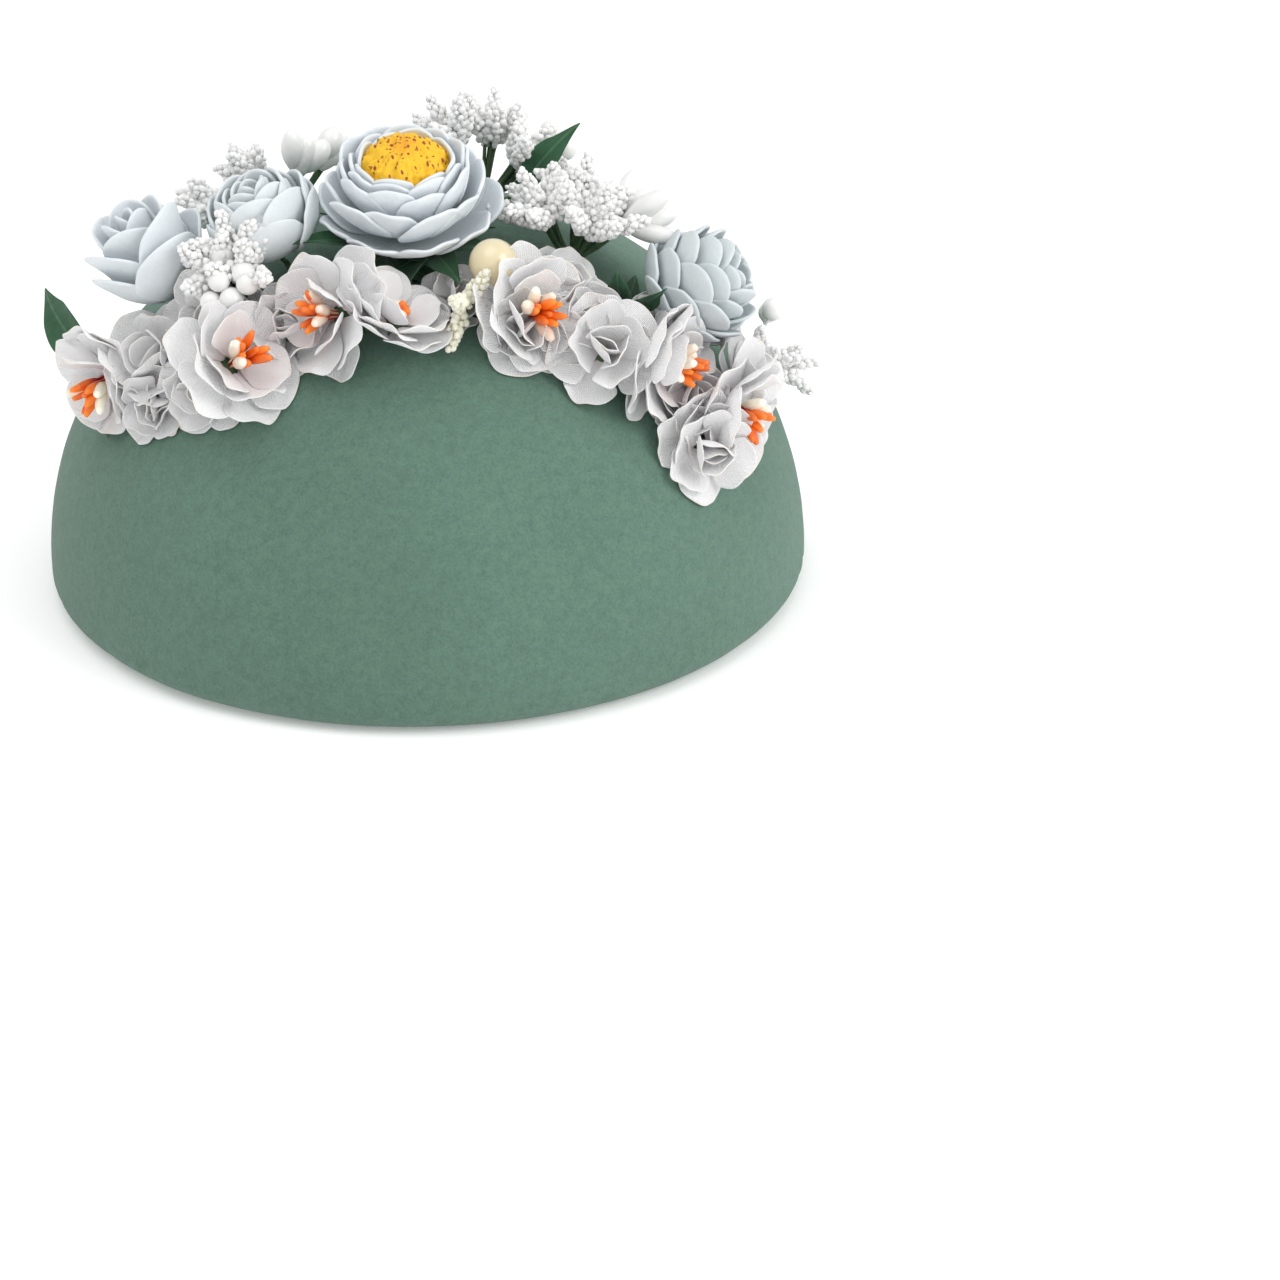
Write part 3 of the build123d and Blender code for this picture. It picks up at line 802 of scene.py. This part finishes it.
def peony_middle():
    """Plug that carries the petals, and the pleated dome on it."""
    points, marks = [], []
    rows, columns = 34, 132
    for i in range(rows):
        share = i / (rows - 1)
        for j in range(columns):
            turn = TAU * j / columns
            if share < 0.25:
                radius, height = 3.0 + 6.5 * share / 0.25, 15.5 * share / 0.25
            else:
                tilt = math.pi / 2 * (1.12 - 1.11 * (share - 0.25) / 0.75)
                pleat = math.sin(turn * 24 + 2.4 * math.sin(turn * 5) + tilt) * 0.45 * math.sin(tilt) ** 2
                flat = math.sin(tilt)
                spot = Vector((math.cos(turn) * flat, math.sin(turn) * flat, math.cos(tilt)))
                lump = noise.noise(spot * 5.0) * 1.2 + noise.noise(spot * 13.0) * 0.5
                radius = (10.6 + pleat + lump * 0.6) * math.sin(tilt)
                height = 17.5 + (7.6 + pleat + lump) * math.cos(tilt)
            points.append((radius * math.cos(turn), radius * math.sin(turn), height))
            marks.append((share, j / columns, 0.5, 1))
    faces = grid_faces(rows, columns, closed=True)
    faces.append(tuple(reversed(range(columns))))
    faces.append(tuple((rows - 1) * columns + k for k in range(columns)))
    return np.array(points), faces, np.array(marks)


def make_peony():
    rng = random.Random(11)
    head = turned_frame("peony")
    outer = corolla(rng, PEONY_RINGS[:2], steps=14)
    inner = corolla(rng, PEONY_RINGS[2:], steps=12)
    for shapes, node in ((outer, "peony_outer_petals"), (inner, "peony_inner_petals")):
        shapes = [moved(shape, head) for shape in shapes]
        shapes = [(off_the_foam(points, 3.0), faces, marks) for points, faces, marks in shapes]
        dress(build(node + "_rubber", shapes, PEONY_RUBBER, 1.0, 1), "peony_pick", "pale_foam_rubber", node)
    middle = build("peony_centre_pleated", [moved(peony_middle(), head)], YELLOW)
    dress(middle, "peony_pick", "yellow_centre", "peony_centre")
    sepals = []
    for k in range(5):
        shape = petal(rng, 11.0, 7.0, -8, 6, 0.04, 0.0, 0.2, tip=0.35, steps=8, blunt=0.0)
        turned = Matrix.Translation((0, 0, -1.2)) @ Matrix.Rotation(k * TAU / 5, 4, "Z")
        sepals.append(moved(shape, head @ turned))
    calyx = build("peony_calyx_cloth", sepals, LEAF, 0.4, 1)
    dress(calyx, "peony_pick", "green_sepals", "peony_calyx")


def make_rubber_flower(name, rings, material, seed, heart_radius, heart_height):
    rng = random.Random(seed)
    head = turned_frame(name)
    shapes = [moved(shape, head) for shape in corolla(rng, rings, steps=14)]
    shapes = [(off_the_foam(points, 1.5), faces, marks) for points, faces, marks in shapes]
    petals = build(f"{name}_petals_rubber", shapes, material, 0.9, 1)
    dress(petals, f"{name}_pick", "pale_foam_rubber", f"{name}_petals")
    path, radii = [], []
    for t in np.linspace(0, 1, 14):
        path.append((0, 0, heart_height * t))
        if t < HEART_SHOULDER:
            radii.append(HEART_FOOT + (heart_radius - HEART_FOOT) * t)
        else:
            rounded = 1 - ((t - HEART_SHOULDER) / (1 - HEART_SHOULDER)) ** 2
            radii.append(heart_radius * math.sqrt(max(0.02, rounded)))
    heart = build(f"{name}_heart_rubber", [moved(tube(path, radii, 20), head)], material, 0.0, 1)
    dress(heart, f"{name}_pick", "pale_foam_rubber", f"{name}_heart")


def stamen(rng, tilt, turn, length, club):
    """Club on a thin filament that leans out from the axis."""
    path, radii = [], []
    filament = 0.32
    for t in np.linspace(0, 1, 14):
        lean = math.radians(tilt) * (0.35 + 0.65 * t)
        reach = 0.8 + math.sin(lean) * length * t
        path.append((reach * math.cos(turn), reach * math.sin(turn), 1.5 + math.cos(lean) * length * t))
        swell = math.sin(math.pi * min(max((t - 0.36) / 0.66, 0), 1)) ** 0.6 if t > 0.36 else 0
        radii.append(filament + (club - filament) * swell)
    radii[-1] = club * 0.45
    return tube(path, radii, 10, rng.random())


def make_stamens(name, seed, size):
    rng = random.Random(seed)
    head = turned_frame(name)
    orange, cream = [], []
    count = 8
    for k in range(count):
        turn = k * TAU / (count - 1) + rng.uniform(-0.35, 0.35)
        tilt = rng.uniform(8, 24) if k else 4
        orange.append(stamen(rng, tilt, turn, rng.uniform(9.5, 13.0) * size, rng.uniform(1.0, 1.3)))
    for k in range(4):
        tilt, turn = rng.uniform(20, 34), rng.uniform(0, TAU)
        cream.append(stamen(rng, tilt, turn, rng.uniform(9.0, 12.0) * size, rng.uniform(1.3, 1.7)))
    body = f"{HEADS[name][0]}_pick"
    piece = build(f"{name}_stamens_orange", [moved(shape, head) for shape in orange], ORANGE)
    dress(piece, body, "orange_stamens", f"{name}_stamens")
    piece = build(f"{name}_stamens_cream", [moved(shape, head) for shape in cream], CREAM)
    dress(piece, body, "orange_stamens")


def make_blossom(name, seed, rings):
    rng = random.Random(seed)
    head = turned_frame(name)
    radius = FLOWERS[name][-1]
    rings = [(row[0], row[1] * radius, row[2] * radius, *row[3:]) for row in rings]
    shapes = [moved(shape, head) for shape in corolla(rng, rings, steps=12, looseness=3.2)]
    shapes = [(off_the_foam(points), faces, marks) for points, faces, marks in shapes]
    petals = build(f"{name}_petals_cloth", shapes, CLOTH, 0.35, 1)
    nodes = [f"{name}_petals"] if name in HEADS else []
    dress(petals, f"{FLOWERS[name][0]}_pick", "white_fabric", *nodes)


def sprig(rng, foot, tip, radius):
    """Spike of frosted grains round a core, from its foot to its tip."""
    run = tip - foot
    matrix = frame_of(foot, run.orthogonal(), run)
    length = run.length
    grains = []
    count = int(length * radius * 0.95) + 8
    for k in range(count):
        share = (k + 0.6) / count
        swell = math.sin(math.pi * min(1.0, 0.22 + 0.74 * share)) ** 0.7
        size = rng.uniform(0.72, 1.25) * (1.05 - 0.3 * share)
        spread = max(0.1, (radius - size * 0.8) * swell * rng.uniform(0.7, 1.05))
        turn = k * 2.39996 + rng.uniform(-0.35, 0.35)
        spot = (spread * math.cos(turn), spread * math.sin(turn), length * share + rng.uniform(-0.4, 0.4))
        grains.append(ball(spot, size, rng.random(), 6, 8, rng.uniform(0.9, 1.25), Vector(spot), 0.12, rng))
    core = tube([(0, 0, -0.5), (0, 0, length * 0.5), (0, 0, length)], [0.6, radius * 0.5, 0.4], 8)
    return [moved(shape, matrix) for shape in [core, *grains]]


def bud(rng, foot, tip, radius, kind):
    """Lacquered bud: a long one is a club with a narrow foot, a round one sits on a short neck."""
    run = tip - foot
    matrix = frame_of(foot, run.orthogonal(), run)
    length = run.length
    path, radii = [], []
    for t in np.linspace(0, 1, 20):
        path.append((0, 0, length * t))
        if kind == "long":
            profile = math.sin(math.pi * (0.04 + 0.93 * t**1.15)) ** 0.55
        else:
            start = max(0.0, 1 - 2 * radius / length)
            inside = min(1.0, max(0.0, (t - start) / (1 - start)))
            profile = math.sqrt(max(0.02, 1 - (2 * inside - 1) ** 2))
        radii.append(max(0.45, radius * profile))
    radii[-1] = radius * 0.25
    return [moved(tube(path, radii, 18, rng.random()), matrix)]


def fanned(run, lean, roll):
    """The direction of a run, leaned out by some degrees towards a side given by its roll."""
    side = run.orthogonal().normalized()
    side.rotate(Matrix.Rotation(math.radians(roll), 3, run))
    return Matrix.Rotation(math.radians(lean), 3, side) @ run


def make_sprigs(pick):
    rng = random.Random(pick + " sprigs")
    beside, lean, thickness = TUFTS[pick]
    shapes = []
    for solid in solids_of(f"{pick}_sprigs"):
        foot, tip, _, radius = long_axis(solid)
        run = tip - foot
        start = rng.uniform(0, 360)
        shapes += sprig(rng, foot, tip + run * 0.12, radius * thickness)
        BRANCH_ENDS[pick].append(foot)
        for k in range(beside):
            way = fanned(run, lean * rng.uniform(0.75, 1.1), start + 360 * k / beside + rng.uniform(-25, 25))
            side_foot = foot + way.normalized() * radius * 0.9
            side_tip = side_foot + way * rng.uniform(0.75, 1.05)
            shapes += sprig(rng, side_foot, side_tip, radius * thickness * 0.95)
            BRANCH_ENDS[pick].append(side_foot)
    material = CREAM_SUGAR if pick == "pearl" else SUGAR
    piece = build(f"{pick}_sprigs_frosted", shapes, material)
    dress(piece, f"{pick}_pick", "sugared_sprigs", f"{pick}_sprigs")


def make_buds(pick):
    rng = random.Random(pick + " buds")
    form, beside, lean, rightward = BUDS[pick]
    shapes = []
    for solid in solids_of(f"{pick}_buds"):
        foot, tip, _, radius = long_axis(solid)
        run = Matrix.Rotation(math.radians(rightward), 3, "Y") @ (tip - foot)
        start = rng.uniform(0, 360)
        shapes += bud(rng, foot, foot + run * 1.1, radius * 1.25, form)
        BRANCH_ENDS[pick].append(foot)
        for k in range(beside):
            way = fanned(run, lean * rng.uniform(0.75, 1.1), start + 360 * k / beside + rng.uniform(-20, 20))
            side_foot = foot + way.normalized() * radius * 1.1
            side_tip = side_foot + way * rng.uniform(0.8, 1.1)
            shapes += bud(rng, side_foot, side_tip, radius * rng.uniform(1.1, 1.4), form)
            BRANCH_ENDS[pick].append(side_foot)
    dress(build(f"{pick}_buds_lacquered", shapes, BUD), f"{pick}_pick", "glossy_buds", f"{pick}_buds")


def make_pearl():
    low, high = (Vector(corner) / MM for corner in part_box("pearl_bead"))
    middle, radius = (low + high) / 2, (high.x - low.x) / 2
    shape = ball((0, 0, 0), radius, 0.5, 32, 48)
    pearl = build("pearl_bead_ivory", [moved(shape, Matrix.Translation(middle))], PEARL, 0.0, 1)
    dress(pearl, "pearl_pick", "ivory_pearl", "pearl_bead")
    BRANCH_ENDS["pearl"].append(middle - (middle - hub_of("pearl")).normalized() * radius)


def make_leaves(node, pick):
    """Cloth leaves that fan out from the foot of each CAD leaf."""
    rng = random.Random(node)
    shapes = []
    for solid in solids_of(node):
        foot, tip, face, half_width = long_axis(solid)
        face = Vector((0, -1, 0.4)) + face * math.copysign(0.5, face.dot(Vector((0, -1, 0.4))))
        face = (face - (tip - foot) * face.dot(tip - foot) / (tip - foot).length_squared).normalized()
        BRANCH_ENDS[pick].append(foot)
        for turn, size in LEAFLETS[node]:
            run = Matrix.Rotation(math.radians(turn), 3, face) @ (tip - foot) * size
            blade = petal(
                rng, run.length, half_width * 2 * min(size, 1.5), 14, -22, 0.09, 0.0, 0.5,
                root=0.0, steps=14, claw=0.55, tip=0.3, blunt=0.0
            )
            points, faces, marks = moved(blade, frame_of(foot, run, face))
            shapes.append((off_the_foam(points), faces, marks))
    dress(build(node + "_cloth", shapes, LEAF, 0.35, 1), f"{pick}_pick", "green_leaf", node)


def branch(hub, end, start_radius, end_radius):
    """Bent wire from a pick's hub to what it carries."""
    middle = (hub + end) / 2
    middle = middle * (1 - 0.8 / middle.length)
    path = [hub, (hub + middle) / 2, middle, (middle + end) / 2, end]
    return tube(path, [start_radius] * 3 + [end_radius] * 2, 8)


def make_stems():
    for pick, way in WAYS.items():
        surface = dome_distance(way)
        hub = hub_of(pick)
        low, point = way * (surface - INSERTION), way * (surface - INSERTION + POINT_LENGTH)
        shapes = [tube([low, point, hub], [POINT_RADIUS, WIRE_RADIUS, WIRE_RADIUS], 12)]
        for name, head in FLOWERS.items():
            if head[0] == pick:
                matrix = turned_frame(name)
                under = matrix @ Vector((0, 0, -UNDER_HEAD))
                shapes.append(branch(hub, under, WIRE_RADIUS * 0.9, BRANCH_RADIUS))
                rise = [matrix @ Vector((0, 0, h)) for h in (-1.6, -0.8, 0.4)]
                shapes.append(tube(rise, [BRANCH_RADIUS, FLARE_RADIUS, FLOOR_RADIUS], 14))
        for end in BRANCH_ENDS[pick]:
            shapes.append(branch(hub, end, BRANCH_RADIUS, BRANCH_RADIUS * 0.8))
        piece = build(f"{pick}_stem_wire", shapes, WIRE)
        dress(piece, f"{pick}_pick", "green_wire", f"{pick}_stem")


def make_stage():
    """Plain pale floor, a key light from the right, and soft light all round."""
    floor_mesh = bpy.data.meshes.new("floor")
    size = 6.0
    corners = [(-size, -size, 0), (size, -size, 0), (size, size, 0), (-size, size, 0)]
    floor_mesh.from_pydata(corners, [], [(0, 1, 2, 3)])
    floor = bpy.data.objects.new("floor", floor_mesh)
    bpy.context.scene.collection.objects.link(floor)
    material, _, shader = new_material("pale_floor", (0.93, 0.93, 0.93), 0.9)
    shader.inputs["Specular IOR Level"].default_value = 0.1
    shader.inputs["Emission Color"].default_value = (1, 1, 1, 1)
    shader.inputs["Emission Strength"].default_value = 0.20
    floor_mesh.materials.append(material)
    world = bpy.data.worlds.new("studio")
    bpy.context.scene.world = world
    world.use_nodes = True
    world.node_tree.nodes["Background"].inputs["Color"].default_value = (1, 1, 1, 1)
    world.node_tree.nodes["Background"].inputs["Strength"].default_value = 0.82
    for name, spot, size, power in (
        ("key", (1.3, -0.8, 1.0), 1.0, 11.0),
        ("top", (-0.4, -0.3, 1.7), 1.4, 7.0),
    ):
        light = bpy.data.lights.new(name, "AREA")
        light.size = size
        light.energy = power
        lamp = bpy.data.objects.new(name, light)
        lamp.location = spot
        lamp.rotation_euler = (Vector((0, 0, 0.05)) - Vector(spot)).to_track_quat("-Z", "Y").to_euler()
        bpy.context.scene.collection.objects.link(lamp)


def make_camera():
    data = bpy.data.cameras.new("camera")
    data.lens = CAMERA_LENS
    data.sensor_width = 36.0
    camera = bpy.data.objects.new("camera", data)
    camera.location = (
        0, -CAMERA_DISTANCE * math.cos(CAMERA_ELEVATION), CAMERA_DISTANCE * math.sin(CAMERA_ELEVATION)
    )
    camera.rotation_euler = (math.pi / 2 - CAMERA_TILT, 0, -CAMERA_PAN)
    bpy.context.scene.collection.objects.link(camera)
    bpy.context.scene.camera = camera
    bpy.context.scene.view_settings.view_transform = "Standard"


make_foam()
make_peony()
make_rubber_flower("ranunculus", RANUNCULUS_RINGS, GREEN_SHADED_RUBBER, 21, 4.5, 13.0)
make_rubber_flower("rose", ROSE_RINGS, PEONY_RUBBER, 32, 3.0, 18.0)
make_rubber_flower("dahlia", DAHLIA_RINGS, GREY_RUBBER, 43, 5.0, 15.0)
for number, letter in enumerate(("a", "b", "c", "c2", "d", "e", "f")):
    make_blossom(f"blossom_{letter}", 100 + number, FABRIC_RINGS)
    make_stamens(f"blossom_{letter}", 200 + number, 0.4 if letter == "c2" else 1.0)
for number, name in enumerate(("blossom_b2", "blossom_d2", "blossom_e2", *FILLERS)):
    make_blossom(name, 300 + number, FILLER_RINGS)
for spray in TUFTS:
    make_sprigs(spray)
for spray in BUDS:
    make_buds(spray)
make_pearl()
make_leaves("left_leaf", "left_blossom")
make_leaves("peony_leaves", "peony")
make_leaves("top_leaf", "top_spray")
make_leaves("dahlia_leaf", "dahlia")
make_stems()
make_stage()
make_camera()
